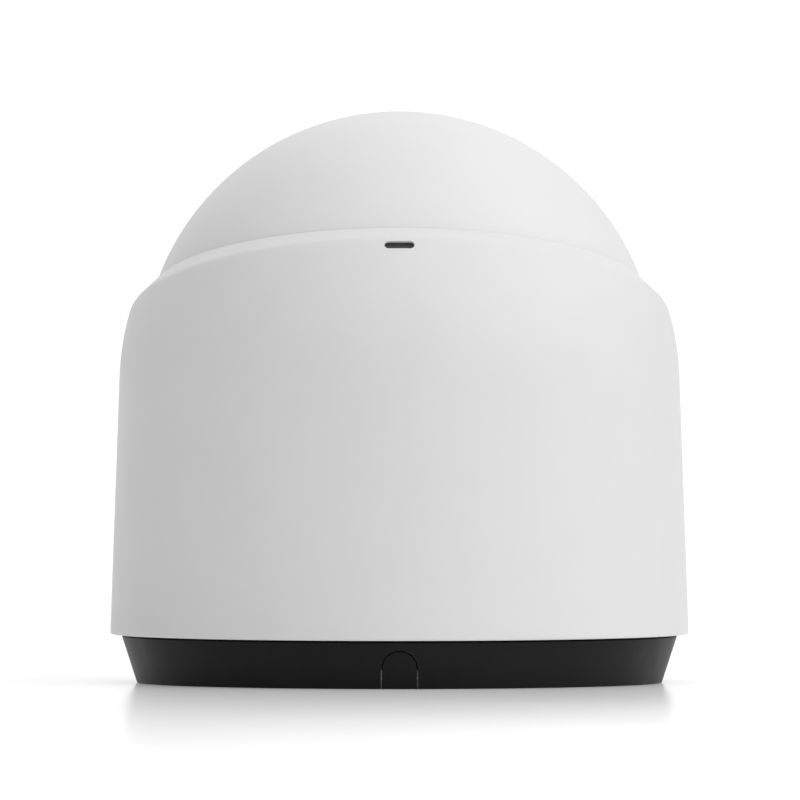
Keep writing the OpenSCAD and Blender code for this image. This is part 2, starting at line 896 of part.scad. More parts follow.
module sensor_screws() {
    h = sensor_board_z[1];
    color("silver") aim() {
        for (x = [-1, 1]) for (y = [-1, 1]) translate([x * sensor_screw_at, y * sensor_screw_at, h])
            screw_down(m25_shank, 4);
        for (side = [-1, 1]) translate([side * holder_ear_at, 0, holder_ear_top])
            screw_down(m2_shank, holder_ear_top - sensor_board_z[0]);
    }
}

// ---------- Chassis and electronics ----------

module chassis() {
    floor_top = chassis_z[0] + chassis_floor_t;
    color("gray") aim() difference() {
        union() {
            disc(chassis_r[1], [chassis_z[0], floor_top]);
            ring(chassis_r, chassis_z);
            ring([lamp_ledge_r, chassis_r[1]], about(lamp_board_z[0], -2, -slip));
            for (x = [-1, 1]) for (y = [-1, 1]) translate([x * sensor_screw_at, y * sensor_screw_at, 0])
                disc(2.4, [chassis_z[0], sensor_board_z[0] - 0.05]);
        }
        block(chassis_window[0], chassis_window[1], chassis_z + [-1, 0]);
        around(stack_angles, stack_at) disc(stack_screw_r + 0.2, [0, floor_top + 1]);
        for (x = [-1, 1]) for (y = [-1, 1])
            translate([x * sensor_screw_at, y * sensor_screw_at, 0]) disc(m25_pilot, [0, 12]);
    }
}

module lamp_board() color("white") aim() ring(lamp_board_r, lamp_board_z);

module infrared_lamps() {
    base = lamp_board_z[1] + 0.05;
    step = 360 / lamp_count;
    color("lightyellow") aim() for (i = [0 : lamp_count - 1]) rotate([0, 0, (i + 0.5) * step - 90])
        translate([lamp_at, 0, base]) {
            translate([-lamp_r, -lamp_r, 0]) cube([2 * lamp_r, 2 * lamp_r, 0.8]);
            intersection() {
                translate([0, 0, 0.6]) sphere(lamp_r);
                disc(lamp_r, [0, lamp_r + 2]);
            }
        }
}

module light_sensor() {
    color("gray") aim() translate([0, -lamp_at - 2, lamp_board_z[1] + 0.05]) {
        translate([-1.6, -1, 0]) cube([3.2, 2, 0.8]);
        disc(0.8, [0, 1.3]);
    }
}

module main_board() {
    color("darkgreen") aim() difference() {
        disc(main_board_r, main_board_z);
        around(stack_angles, stack_at) disc(stack_screw_r + 0.2, main_board_z + [-1, 1]);
    }
}

module board_components() {
    top = main_board_z[1] + 0.05;
    capacitor = [3, 5];
    coil = [8, 8, 4];
    memory_chip = [7, 7, 1.1];
    regulator = [1.3, 2.5, 0.8];
    regulator_pitch = 2.6;
    ribbon_socket = [11, 2, 1.6];
    color("dimgray") aim() translate([0, 0, top]) {
        for (x = [-13, -5]) translate([x, 21, 0]) disc(capacitor[0], [0, capacitor[1]]);
        translate([4, 15, 0]) cube(coil);
        for (x = [-18, -8, 2]) translate([x, -2, 0]) cube(memory_chip);
        for (i = [0 : 3]) translate([15 + regulator_pitch * i, -4, 0]) cube(regulator);
        translate([-ribbon_socket[0] / 2, -24, 0]) cube(ribbon_socket);
    }
}

module processor() {
    h = chip_half;
    color("black") aim() block([-h, h], chip_y, about(main_board_z[0] - 0.05, -chip_t, 0));
}

module thermal_pad() {
    top = main_board_z[0] - chip_t - 0.1;
    color("lightsteelblue") aim() block([-chip_half, chip_half], chip_y, about(top, -pad_t, 0));
}

module heat_sink() {
    pad_low = main_board_z[0] - chip_t - pad_t - 0.15;
    color("silver") aim() difference() {
        union() {
            disc(sink_r, sink_z);
            block([-chip_half, chip_half], chip_y, [sink_z[0], pad_low]);
            for (side = [-1, 1]) for (i = [0 : fin_rows - 1])
                translate([0, side * (fin_first + i * fin_pitch), 0])
                    block([-fin_reach, fin_reach], [-fin_t / 2, fin_t / 2], [fin_z, sink_z[0] + eps]);
        }
        disc(sink_hole_r, [-reach, reach]);
        around(stack_angles, stack_at) disc(stack_screw_r + 0.2, sink_z + [-1, 1]);
    }
}

module stack_spacers() {
    hole = stack_screw_r + 0.1;
    color("goldenrod") aim() around(stack_angles, stack_at) {
        ring([hole, stack_tube_r], [sink_z[1] + slip, main_board_z[0] - slip]);
        ring([hole, stack_tube_r], [main_board_z[1] + slip, chassis_z[0] - slip]);
    }
}

module stack_screws() {
    top = chassis_z[0] + chassis_floor_t;
    color("silver") aim() around(stack_angles, stack_at)
        translate([0, 0, top]) screw_down(stack_screw_r, top - stack_post_top + 4);
}

module cable_socket() {
    color("white") aim() block([-5, 5], [-3.5, 3.5], [cable_in, main_board_z[0] - 0.05]);
}

module sensor_ribbon() {
    w = 5;
    strip_y = [-21.95, -21.65];
    turn_z = chassis_z[0] + chassis_floor_t + 0.5;
    color("orange") aim() {
        block([-w, w], strip_y, [main_board_z[1] + 0.1, turn_z + 0.3]);
        block([-w, w], [strip_y[0], -11.5], about(turn_z, 0, 0.3));
        block([-w - 0.5, w + 0.5], [-14, -11], [turn_z, sensor_board_z[0] - 0.05]);
    }
}

base_ring();
mount_plate();
base_gasket();
pan_friction_ring();
cable_plug();
housing();
rim_liner();
mic_mesh();
microphone();
retaining_ring();
seat_frame();
seat_pads();
frame_screws();
tilt_track();
track_screws();
jack_shell();
jack_insert();
jack_contacts();
jack_bracket();
bracket_screws();
reset_switch();
reset_button();
harness();
tilt_carriage();
tail_washer();
tail_nut();
head_cable();
ball_shell();
front_bezel();
bezel_oring();
front_window();
lens_window();
window_gasket();
lens_hood();
lens_barrel();
front_lens();
middle_lens();
rear_lens();
ir_cut_filter();
lens_holder();
image_sensor();
sensor_board();
sensor_screws();
chassis();
lamp_board();
infrared_lamps();
light_sensor();
main_board();
board_components();
processor();
thermal_pad();
heat_sink();
stack_spacers();
stack_screws();
cable_socket();
sensor_ribbon();
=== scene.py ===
"""Looks for a turret security camera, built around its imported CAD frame.

Lengths are in metres. Z is up, the mounting face is Z = 0, and the lens faces +Y at rest.
"""

import json
import math

import bmesh
import bpy
from mathutils import Matrix, Vector


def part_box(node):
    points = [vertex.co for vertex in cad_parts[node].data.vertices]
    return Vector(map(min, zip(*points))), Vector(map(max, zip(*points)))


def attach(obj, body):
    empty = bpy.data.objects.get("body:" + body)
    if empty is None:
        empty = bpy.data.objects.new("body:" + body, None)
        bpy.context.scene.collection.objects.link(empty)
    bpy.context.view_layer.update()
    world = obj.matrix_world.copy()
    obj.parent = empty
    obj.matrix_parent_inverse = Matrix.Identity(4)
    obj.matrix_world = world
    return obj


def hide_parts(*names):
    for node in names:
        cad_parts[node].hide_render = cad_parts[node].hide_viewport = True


MM = 0.001
SHARP_TURN = math.radians(35)

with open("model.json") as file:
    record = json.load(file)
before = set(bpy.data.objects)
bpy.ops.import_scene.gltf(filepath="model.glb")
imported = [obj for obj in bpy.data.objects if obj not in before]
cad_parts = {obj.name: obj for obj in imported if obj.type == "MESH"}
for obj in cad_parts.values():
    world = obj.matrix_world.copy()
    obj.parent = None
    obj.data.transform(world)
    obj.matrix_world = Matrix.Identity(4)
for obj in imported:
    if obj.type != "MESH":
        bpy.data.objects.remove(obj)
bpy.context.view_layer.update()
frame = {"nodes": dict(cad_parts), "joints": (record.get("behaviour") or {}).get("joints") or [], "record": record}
NODES = frame["nodes"]
SLOT_OF = {s["node"]: s["material_slot"] for s in frame["record"]["subparts"]}
JOINTS = {j["name"]: j for j in frame["joints"]}

# Places read from the frame
BALL_CENTRE = Vector(JOINTS["tilt"]["pos_m"])
LENS_AXIS = Vector(JOINTS["roll"]["axis"]).normalized()
SHELL_LOW, SHELL_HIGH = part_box("ball_shell")
HOUSING_LOW, HOUSING_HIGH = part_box("housing")
BASE_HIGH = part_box("base_ring")[1]
PLUG_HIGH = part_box("cable_plug")[1]
BALL_R = (SHELL_HIGH.x - SHELL_LOW.x) / 2
HOUSING_R = (HOUSING_HIGH.x - HOUSING_LOW.x) / 2
HOUSING_Z = HOUSING_LOW.z

# Housing wall and shoulder
WALL_DRAFT = math.radians(2.05)
SHOULDER_R = 50 * MM
SHOULDER_Z = 56.5 * MM
SKIRT_R = 52.6 * MM
SKIRT_TOP = 17 * MM
GROOVE_R = 53.1 * MM
GROOVE_Z = (10.0 * MM, 13.1 * MM)
INNER_R = 51.3 * MM

# Slanted rim, measured from the ball's centre along and across its own axis
RIM_TILT = math.radians(15.5)
RIM_RISE = 15.6 * MM
RIM_CLEAR_R = BALL_R + 0.4 * MM
RIM_LOW = 1.5 * MM
RIM_INNER_EDGE = 0.5 * MM
RIM_LIP_START = 1 * MM
LIP_SUM = RIM_RISE + math.sqrt(RIM_CLEAR_R ** 2 - RIM_RISE ** 2) - 0.2 * MM
RIM_EDGE_SOFT = 0.6 * MM
RIM_INNER_SOFT = 0.35 * MM
WALL_EDGE_R = (44 * MM, 64 * MM)
WALL_FINE_H = 5 * MM
WALL_FOOT_H = 2 * MM
WALL_FOOT_SOFT = 0.6 * MM
SKIRT_SOFT = 0.25 * MM
WALL_T = 1.4 * MM
ROOT_R = 46.2 * MM

# Rear slot
SLOT_RISE = math.radians(28.3)
SLOT_LEN = 5.7 * MM
SLOT_H = 1.6 * MM
SLOT_DEPTH = (BALL_R + 1.2 * MM, BALL_R + 8 * MM)

# Base
BASE_TOP = 8.9 * MM
BASE_FOOT_R = 49.9 * MM
BASE_TOP_R = 52.8 * MM
COLLAR_R = (47.2 * MM, 49.6 * MM)
COLLAR_LIP_R = 51 * MM
COLLAR_LIP_T = 2 * MM
FLOOR_Z = (2 * MM, 4 * MM)
FOOT_INNER_R = 46.8 * MM
OPENING_R = 30 * MM
NOTCH_W = 7 * MM
NOTCH_H = 7.3 * MM
NOTCH_Y = (-60 * MM, -20 * MM)
PLUG_INNER_R = 47.4 * MM
PLUG_SOFT = 0.18 * MM
PLUG_GAP = 0.2 * MM
PLUG_LEG_T = 1 * MM
PLUG_LEG_Z = (1.7 * MM, 4.5 * MM)
SCREW_TURNS = (90, 210, 330)
SCREW_AT = 40 * MM
SCREW_ROOM_R = 4.6 * MM
TAB_TURNS = (50, 170, 290)
TAB_SLOT_R = (32.6 * MM, 36 * MM)
TAB_SLOT_HALF = 4.4 * MM
GASKET_R = (47.25 * MM, 49.35 * MM)
GASKET_T = 0.75 * MM

# Ball, along the lens axis
SHELL_T = 2.4 * MM
SEAM_Z = 36.5 * MM
FACE_Z = 39 * MM
BORE_R = 30.9 * MM
TAIL_HOLE_R = 4.58 * MM
TAIL_BOSS_R = 9 * MM
TAIL_BOSS_Z = -44.5 * MM
POST_AT = 24 * MM
POST_R = 3.2 * MM
POST_TOP = -17.2 * MM
BEZEL_SPIGOT_R = 30.7 * MM
BEZEL_IN_R = 25 * MM
BEZEL_LOW = 32.6 * MM
BEZEL_GAP = 0.05 * MM
ORING_GROOVE_R = 29.4 * MM
ORING_GROOVE_Z = (34.9 * MM, 36.1 * MM)
WINDOW_SEAT_Z = 36.9 * MM
WINDOW_R = 27.35 * MM
WINDOW_Z = (37.5 * MM, 39.3 * MM)
WINDOW_CROWN = 0.25 * MM
WINDOW_EDGE = 0.35 * MM
LENS_WINDOW_R = 10.2 * MM
AXIS_R = 0.001 * MM

# Lens, along the lens axis
HOOD_R = (8.6 * MM, 9.9 * MM)
HOOD_Z = (27.5 * MM, 37.4 * MM)
BARREL_R = (6 * MM, 7.6 * MM)
BARREL_Z = (16.5 * MM, 27 * MM, 36.4 * MM)
BARREL_MOUTH_R = 6.8 * MM
BARREL_BORE_R = 3.6 * MM
REAR_GLASS_R = 4.2 * MM
REAR_GLASS_Z = 19 * MM
GLASS_R = 5.4 * MM
GLASS_SEAT_Z = (31 * MM, 34.6 * MM)
GLASS_TOP = 35.6 * MM
GLASS_CURVE = 6.5 * MM
GLASS_GAP = 0.05 * MM
THREAD_PITCH = 1.05 * MM
THREAD_DEPTH = 0.25 * MM

# Finish
HOUSING_WHITE = (0.80, 0.80, 0.80)
BALL_WHITE = (0.82, 0.82, 0.82)

# Studio
CAMERA_DISTANCE = 7.2
CAMERA_RISE = math.radians(1.05)
CAMERA_AIM = Vector((0.0001, 0, 0.0537))
SEEN_WIDTH = 0.1521
SENSOR = 36
LOBES = [  # heading, sharpness and strength of each broad light
    ((0, 1, 0), 2, 0.83), ((0, 0, 1), 2, 1.03), ((1, -0.3, 0.6), 4, 1.27), ((0, -1, 0.9), 4, 0.47),
    ((1, -1, 0.2), 4, 0.11), ((-1, 1, 0.2), 4, 0.18), ((0, 0, -1), 1, 0.45)]
KEY_AT = (0.5, -1.1, 1.2)
KEY_SIZE = 1.0
KEY_POWER = 0.5
FLOOR_HALF = 6.0
FLOOR_WHITE = (0.9, 0.9, 0.9, 1)
FLOOR_ROUGH = 0.14
FLOOR_GLOW = 0.15
# Strength of the painted light seen only by the camera away from the object; the floor close to the object stays
# darker as painted shade.
FLOOR_PAINTED_GLOW = 0.25
BACKDROP = 1.1
FLOOR_GAP = 0.03 * MM


# ---------- Small helpers ----------

def add_object(name, data):
    ob = bpy.data.objects.new(name, data)
    bpy.context.scene.collection.objects.link(ob)
    return ob


def look_at(ob, target):
    ob.rotation_euler = (Vector(target) - ob.location).to_track_quat("-Z", "Y").to_euler()


def mesh_object(name, bm):
    """A smooth-shaded object from a bmesh, with hard edges where it turns sharply."""
    bmesh.ops.recalc_face_normals(bm, faces=bm.faces)
    mesh = bpy.data.meshes.new(name)
    bm.to_mesh(mesh)
    bm.free()
    mesh.shade_smooth()
    mesh.set_sharp_from_angle(angle=SHARP_TURN)
    return add_object(name, mesh)


def skin_columns(bm, columns):
    """Joins neighbouring columns of points with faces. Each column is a closed loop."""
    rows = [[bm.verts.new(p) for p in column] for column in columns]
    count = len(rows[0])
    for here, there in zip(rows, rows[1:] + rows[:1]):
        for k in range(count):
            n = (k + 1) % count
            bm.faces.new((here[k], here[n], there[n], there[k]))


def revolved(bm, profile, turns, place=None):
    """Turns a profile of (radius, height) points about Z, then places it."""
    columns = []
    for i in range(turns):
        a = math.tau * i / turns
        points = [Vector((r * math.cos(a), r * math.sin(a), z)) for r, z in profile]
        columns.append([place @ p for p in points] if place else points)
    skin_columns(bm, columns)


def soft_corner(before, corner, after, cut, steps=5):
    """The corner of a line, rounded over a length of cut on each side."""
    before, corner, after = (Vector(p) for p in (before, corner, after))
    start = corner + (before - corner).normalized() * min(cut, (before - corner).length / 2)
    end = corner + (after - corner).normalized() * min(cut, (after - corner).length / 2)
    line = []
    for i in range(steps + 1):
        t = i / steps
        line.append(start * (1 - t) ** 2 + corner * (2 * t * (1 - t)) + end * t ** 2)
    return line


def softened(points, cuts):
    """A closed outline of 2D points with each corner rounded by its own cut; 0 leaves it."""
    out = []
    for i, p in enumerate(points):
        if cuts[i] == 0:
            out.append(Vector(p))
        else:
            out += soft_corner(points[i - 1], p, points[(i + 1) % len(points)], cuts[i])
    return out


def prism(name, low, high):
    """A closed solid between two outlines with the same number of points."""
    bm = bmesh.new()
    rings = [[bm.verts.new(p) for p in outline] for outline in (low, high)]
    count = len(rings[0])
    for k in range(count):
        n = (k + 1) % count
        bm.faces.new((rings[0][k], rings[0][n], rings[1][n], rings[1][k]))
    bm.faces.new(rings[0])
    bm.faces.new(rings[1])
    return mesh_object(name, bm)


def turned(name, profile, turns):
    """A profile of (radius, height) turned about the lens axis."""
    bm = bmesh.new()
    revolved(bm, profile, turns, ball_place())
    return mesh_object(name, bm)


def between(a, b, count):
    """Count evenly spaced values from a towards b, without b."""
    return [a + (b - a) * i / count for i in range(count)]


def cut_with(ob, cutter):
    """Cuts one closed mesh from another and throws the cutter away."""
    mod = ob.modifiers.new("cut", "BOOLEAN")
    mod.operation = "DIFFERENCE"
    mod.solver = "EXACT"
    mod.object = cutter
    bpy.context.view_layer.update()
    cut = bpy.data.meshes.new_from_object(ob.evaluated_get(bpy.context.evaluated_depsgraph_get()))
    ob.modifiers.clear()
    ob.data = cut
    cut.shade_smooth()
    cut.set_sharp_from_angle(angle=SHARP_TURN)
    bpy.data.objects.remove(cutter)


def ball_place():
    """Places a shape made along Z onto the lens axis, about the ball's centre."""
    return Matrix.Translation(BALL_CENTRE) @ LENS_AXIS.to_track_quat("Z", "X").to_matrix().to_4x4()


# ---------- Camera, light and floor ----------

def make_camera():
    """A long lens straight behind the camera, one degree above the floor."""
    data = bpy.data.cameras.new("camera")
    data.sensor_width = SENSOR
    data.lens = SENSOR * CAMERA_DISTANCE / SEEN_WIDTH
    data.clip_start = 0.01
    data.clip_end = 60
    cam = add_object("camera", data)
    heading = Vector((0, -math.cos(CAMERA_RISE), math.sin(CAMERA_RISE)))
    cam.location = CAMERA_AIM + heading * CAMERA_DISTANCE
    look_at(cam, CAMERA_AIM)
    bpy.context.scene.camera = cam


def make_light():
    """One large softbox, high behind the viewer's shoulder, on top of the room's own light."""
    data = bpy.data.lights.new("key", "AREA")
    data.shape = "RECTANGLE"
    data.size = KEY_SIZE
    data.size_y = KEY_SIZE
    data.energy = KEY_POWER
    light = add_object("key", data)
    light.location = KEY_AT
    look_at(light, (0, 0, 0.06))


def make_world():
    """A white room: plain white to the eye, lit by broad soft lobes of light."""
    world = bpy.data.worlds.new("studio")
    bpy.context.scene.world = world
    world.use_nodes = True
    g = Graph(world.node_tree)
    at = g.node("ShaderNodeTexCoord").outputs["Generated"]
    total = None
    for heading, spread, strength in LOBES:
        to = Vector(heading).normalized()
        facing = g.node("ShaderNodeVectorMath", {0: at, 1: to}, operation="DOT_PRODUCT")
        front = g.math("MAXIMUM", facing.outputs["Value"], 0)
        lobe = g.math("MULTIPLY", g.math("POWER", front, spread), strength)
        total = g.math("ADD", total, lobe) if total else lobe
    light = g.node("ShaderNodeBackground", {"Color": (1, 1, 1, 1), "Strength": total})
    seen = g.node("ShaderNodeBackground", {"Color": (1, 1, 1, 1), "Strength": BACKDROP})
    looking = g.node("ShaderNodeLightPath").outputs["Is Camera Ray"]
    mix = g.node("ShaderNodeMixShader", {0: looking, 1: light.outputs[0], 2: seen.outputs[0]})
    g.node("ShaderNodeOutputWorld", {"Surface": mix.outputs[0]})


def make_floor():
    """A wide glossy white floor that fades to plain white and is open from below."""
    half = FLOOR_HALF
    bm = bmesh.new()
    corners = [(-half, -half), (half, -half), (half, half), (-half, half)]
    bm.faces.new([bm.verts.new((x, y, -FLOOR_GAP)) for x, y in corners])
    floor = mesh_object("floor", bm)
    mat, g, at = new_graph("floor_white")
    seen = g.node("ShaderNodeLightPath").outputs["Is Camera Ray"]
    away = g.node("ShaderNodeVectorMath", {0: at}, operation="LENGTH").outputs["Value"]
    outside = g.math("GREATER_THAN", away, BASE_FOOT_R - MM)
    glossy = floor_top(g, at, away, seen, outside)
    white = g.node("ShaderNodeEmission", {0: (1, 1, 1, 1), 1: BACKDROP})
    fade = g.math("MULTIPLY", floor_fade(g, at, away), seen)
    top = g.node("ShaderNodeMixShader", {0: fade, 1: glossy.outputs[0], 2: white.outputs[0]})
    from_below = g.node("ShaderNodeNewGeometry").outputs["Backfacing"]
    under = g.math("MULTIPLY", g.math("SUBTRACT", 1, outside), g.math("SUBTRACT", 1, seen))
    nothing = g.node("ShaderNodeBsdfTransparent")
    both = g.node("ShaderNodeMixShader", {
        0: g.math("MAXIMUM", from_below, under), 1: top.outputs[0], 2: nothing.outputs[0]})
    g.node("ShaderNodeOutputMaterial", {"Surface": both.outputs[0]})
    floor.data.materials.append(mat)


def floor_top(g, at, away, seen, outside):
    """Glossy white with a faint glow, which is off under the camera's foot, plus a painted glow seen only by the
    camera that leaves painted shade round the object.
    """
    # Painted light for camera rays only: this glow rises from nothing at 0.08 m to full at 0.5 m from the centre,
    # so the floor near the object shows as painted shade.
    near = g.node("ShaderNodeMapRange", {0: away, 1: 0.08, 2: 0.5, 3: 0.0, 4: FLOOR_PAINTED_GLOW}).outputs[0]
    glow = g.math("ADD", g.math("MULTIPLY", seen, near), FLOOR_GLOW)
    return g.node("ShaderNodeBsdfPrincipled", {
        "Base Color": FLOOR_WHITE, "Roughness": g.noise(at, 3, FLOOR_ROUGH - 0.01, FLOOR_ROUGH + 0.01),
        "Emission Color": (1, 1, 1, 1), "Emission Strength": g.math("MULTIPLY", glow, outside)})


def floor_fade(g, at, away):
    """1 where the floor is lost in the white of the room. The reflection behind the camera stays."""
    place = g.node("ShaderNodeSeparateXYZ", {0: at}).outputs
    beside = g.smooth(g.math("ABSOLUTE", place[0], 0), 0.07, 0.14)
    ahead = g.smooth(place[1], -0.05, 0.05)
    soon = g.math("MULTIPLY", g.math("MAXIMUM", beside, ahead), g.smooth(away, 0.08, 0.27))
    return g.math("MAXIMUM", soon, g.smooth(away, 0.45, 1.2))


# ---------- Materials ----------

class Graph:
    """Builds a node tree: each node is named by its type, with its inputs as values or as links."""

    def __init__(self, tree):
        self.tree = tree
        tree.nodes.clear()

    def node(self, kind, inputs=None, **settings):
        n = self.tree.nodes.new(kind)
        for key, value in settings.items():
            setattr(n, key, value)
        for key, value in (inputs or {}).items():
            self.put(n.inputs[key], value)
        return n

    def put(self, socket, value):
        if isinstance(value, bpy.types.NodeSocket):
            self.tree.links.new(value, socket)
        else:
            socket.default_value = value

    def math(self, operation, a, b):
        return self.node("ShaderNodeMath", {0: a, 1: b}, operation=operation).outputs[0]

    def smooth(self, value, low, high):
        """0 below low, 1 above high, and a soft rise between."""
        n = self.node("ShaderNodeMapRange", {0: value, 1: low, 2: high}, interpolation_type="SMOOTHSTEP")
        return n.outputs[0]

    def ramp(self, value, stops):
        """A colour that runs through stops of (place, colour)."""
        n = self.node("ShaderNodeValToRGB", {0: value})
        bar = n.color_ramp.elements
        while len(bar) < len(stops):
            bar.new(0.5)
        for element, (place, colour) in zip(bar, stops):
            element.position = place
            element.color = (*colour[:3], 1)
        return n.outputs[0]

    def noise(self, coord, scale, low, high, detail=3.0, stretch=None):
        """A value that wanders between low and high."""
        if stretch:
            coord = self.node("ShaderNodeMapping", {0: coord, 3: stretch}).outputs[0]
        n = self.node("ShaderNodeTexNoise", {"Vector": coord, "Scale": scale, "Detail": detail})
        return self.node("ShaderNodeMapRange", {0: n.outputs[0], 1: 0.3, 2: 0.7, 3: low, 4: high}).outputs[0]

    def bump(self, height, strength, distance, under=None):
        inputs = {"Height": height, "Strength": strength, "Distance": distance}
        if under:
            inputs["Normal"] = under
        return self.node("ShaderNodeBump", inputs).outputs[0]

    def surface(self, inputs):
        shader = self.node("ShaderNodeBsdfPrincipled", inputs)
        self.node("ShaderNodeOutputMaterial", {"Surface": shader.outputs[0]})


def shade(colour, by):
    return tuple(min(1, c * by) for c in colour[:3])


def new_graph(name):
    mat = bpy.data.materials.new(name)
    mat.use_nodes = True
    g = Graph(mat.node_tree)
    return mat, g, g.node("ShaderNodeTexCoord").outputs["Object"]


def moulded(name, colour, rough=0.45, grain=2600, depth=0.00002, vary=0.05, shine=0.5, speck=0.25):
    """Moulded or coated surface: fine grain in the bump, slow drift in colour and gloss."""
    mat, g, at = new_graph(name)
    drift = g.noise(at, 55, 0, 1)
    tone = g.ramp(drift, [(0, shade(colour, 1 - vary)), (1, shade(colour, 1 + vary))])
    fine = g.noise(at, grain, 0, 1, detail=2)
    wide = g.noise(at, grain / 9, 0, 1, detail=2)
    normal = g.bump(wide, speck * 0.5, depth * 2)
    normal = g.bump(fine, speck, depth, under=normal)
    gloss = g.noise(at, 140, rough - 0.04, rough + 0.04)
    g.surface({
        "Base Color": tone, "Roughness": gloss, "Normal": normal, "Specular IOR Level": shine})
    return mat


def brushed(name, colour, rough=0.32, stretch=(1, 1, 24)):
    """Plated or brushed metal with fine streaks."""
    mat, g, at = new_graph(name)
    streak = g.noise(at, 900, 0, 1, stretch=stretch)
    tone = g.ramp(streak, [(0, shade(colour, 0.86)), (1, shade(colour, 1.08))])
    gloss = g.noise(at, 500, rough - 0.07, rough + 0.09, stretch=stretch)
    g.surface({
        "Base Color": tone, "Metallic": 1.0, "Roughness": gloss,
        "Normal": g.bump(streak, 0.15, 0.00002)})
    return mat


def cast(name, colour, rough=0.5):
    """Cast or blasted metal with a grainy skin."""
    mat, g, at = new_graph(name)
    lumps = g.noise(at, 1500, 0, 1, detail=4)
    tone = g.ramp(g.noise(at, 120, 0, 1), [(0, shade(colour, 0.88)), (1, shade(colour, 1.08))])
    gloss = g.noise(at, 260, rough - 0.08, rough + 0.08)
    g.surface({
        "Base Color": tone, "Metallic": 1.0, "Roughness": gloss, "Normal": g.bump(lumps, 0.5, 0.00004)})
    return mat


def board(name, colour, track):
    """Circuit board: solder resist with the faint relief of its tracks."""
    mat, g, at = new_graph(name)
    cells = g.node("ShaderNodeTexVoronoi", {"Vector": at, "Scale": 420.0}, distance="MANHATTAN", feature="F1")
    edge = g.node("ShaderNodeMapRange", {0: cells.outputs["Distance"], 1: 0.30, 2: 0.36})
    tone = g.ramp(edge.outputs[0], [(0, colour), (1, track)])
    gloss = g.noise(at, 300, 0.28, 0.4)
    g.surface({
        "Base Color": tone, "Roughness": gloss, "Normal": g.bump(edge.outputs[0], 0.3, 0.00003)})
    return mat


def rubbery(name, colour, rough=0.75):
    mat, g, at = new_graph(name)
    tone = g.ramp(g.noise(at, 200, 0, 1), [(0, shade(colour, 0.85)), (1, shade(colour, 1.2))])
    gloss = g.noise(at, 700, rough - 0.08, rough + 0.08)
    g.surface({
        "Base Color": tone, "Roughness": gloss,
        "Normal": g.bump(g.noise(at, 3000, 0, 1), 0.35, 0.00003), "Sheen Weight": 0.15})
    return mat


def clear(name, tint, coating):
    """Optical glass with a thin coloured coating on its surface."""
    mat, g, at = new_graph(name)
    g.surface({
        "Base Color": (*tint, 1), "Roughness": g.noise(at, 300, 0.01, 0.03), "Transmission Weight": 1.0,
        "IOR": 1.5, "Specular IOR Level": 0.3, "Specular Tint": (*coating, 1)})
    return mat


def tinted_window(name):
    """Infrared window: nearly black, mirror smooth, with a few faint polishing waves."""
    mat, g, at = new_graph(name)
    tone = g.ramp(g.noise(at, 40, 0, 1), [(0, (0.006, 0.006, 0.008)), (1, (0.012, 0.010, 0.014))])
    gloss = g.noise(at, 90, 0.04, 0.08)
    g.surface({
        "Base Color": tone, "Roughness": gloss, "Normal": g.bump(g.noise(at, 60, 0, 1), 0.04, 0.0001),
        "Specular IOR Level": 0.35})
    return mat


def woven_mesh(name):
    """Fine acoustic mesh."""
    mat, g, at = new_graph(name)
    diagonal = g.node("ShaderNodeMapping", {0: at, 2: (0, 0, math.radians(45))}).outputs[0]
    weave = g.node("ShaderNodeTexChecker", {"Vector": diagonal, "Scale": 6000.0})
    tone = g.ramp(weave.outputs[1], [(0, (0.012, 0.012, 0.013)), (1, (0.06, 0.06, 0.065))])
    g.surface({
        "Base Color": tone, "Roughness": g.noise(at, 800, 0.4, 0.55),
        "Normal": g.bump(weave.outputs[1], 0.6, 0.00004)})
    return mat


def flat_film(name, colour, track):
    """Polyimide film with its copper tracks showing through."""
    mat, g, at = new_graph(name)
    lanes = g.node("ShaderNodeTexWave", {"Vector": at, "Scale": 160.0}, bands_direction="X")
    tone = g.ramp(lanes.outputs[1], [(0.4, colour), (0.6, track)])
    g.surface({
        "Base Color": tone, "Roughness": g.noise(at, 400, 0.25, 0.4),
        "Normal": g.bump(lanes.outputs[1], 0.2, 0.00003)})
    return mat


